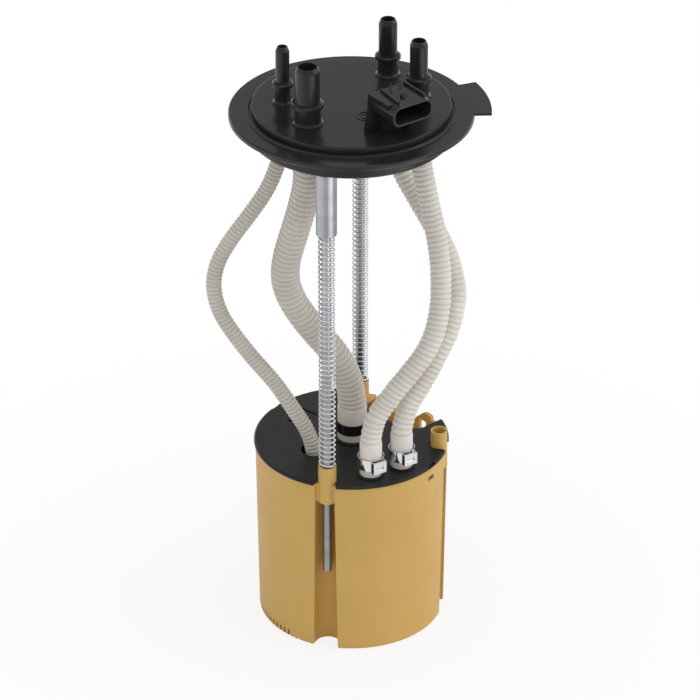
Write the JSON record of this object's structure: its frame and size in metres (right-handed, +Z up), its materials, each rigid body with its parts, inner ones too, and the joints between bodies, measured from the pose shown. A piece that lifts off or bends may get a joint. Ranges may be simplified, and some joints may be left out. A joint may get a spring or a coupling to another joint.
{
  "type": "fuel tank sending unit",
  "caption": "Fuel tank sending unit: round flange with hose spigots and a connector, sprung on guide rods over a fuel reservoir with a level float.",
  "frame": {"origin": "centre of the reservoir's foot, on the face it stands on", "axes": "+Z up along the guide rods, towards the flange; -Y is the way the electrical connector opens"},
  "size_m": [0.1645, 0.2027, 0.402],
  "materials": {
    "amber_plastic": "moulded acetal, golden yellow, satin with a faint gloss",
    "black_plastic": "moulded, satin black",
    "flange_plastic": "glass-filled moulding, black, semi-gloss",
    "hose_nylon": "corrugated nylon, warm light grey",
    "rod_steel": "drawn bar, bright",
    "spring_steel": "drawn wire, zinc bright",
    "clamp_steel": "stamped stainless band, bright",
    "black_band": "coated band, black",
    "contact_brass": "stamped, tinned look left off",
    "ceramic": "ceramic card with printed tracks",
    "hub_acetal": "moulded acetal, natural",
    "filter_cloth": "fine woven filter cloth",
    "valve_rubber": "soft moulded disc",
    "float_foam": "closed-cell nitrile foam, matt black"
  },
  "bodies": {
    "reservoir_body": {"reservoir": "amber_plastic", "reservoir_cover": "black_plastic", "inlet_valve": "valve_rubber", "jet_pump": "black_plastic", "jet_tube": "black_plastic", "pickup_tube": "black_plastic", "strainer_collar": "black_plastic", "pickup_strainer": "filter_cloth", "return_drop_tube": "black_plastic", "crossover_drop_tube": "black_plastic", "sensor_housing": "black_plastic", "sensor_card": "ceramic", "sensor_terminals": "contact_brass", "front_spring": "spring_steel", "back_spring": "spring_steel", "jet_hose": "hose_nylon", "feed_hose": "hose_nylon", "return_hose": "hose_nylon", "crossover_hose": "hose_nylon", "feed_hose_clamp": "black_band", "return_hose_clamp": "clamp_steel", "crossover_hose_clamp": "clamp_steel"},
    "flange_body": {"flange": "flange_plastic", "connector_terminals": "contact_brass", "front_rod": "rod_steel", "back_rod": "rod_steel", "front_spacer_tube": "rod_steel", "back_spacer_tube": "rod_steel"},
    "float_body": {"wiper_hub": "hub_acetal", "wiper_contact": "contact_brass", "float_arm": "rod_steel", "float": "float_foam"}
  },
  "joints": [
    {"name": "flange_slide", "type": "slide", "parent": "reservoir_body", "child": "flange_body", "axis": [0, 0, 1], "range_m": [-0.05, 0], "stiffness_N_per_m": 600, "springref_m": 0.015, "deforming": ["front_spring", "back_spring", "jet_hose", "feed_hose", "return_hose", "crossover_hose"]},
    {"name": "float_swing", "type": "hinge", "parent": "reservoir_body", "child": "float_body", "pos_m": [0.04008, 0.00757, 0.075], "axis": [0.9272, 0.3746, 0], "range_deg": [0, 104]}
  ]
}
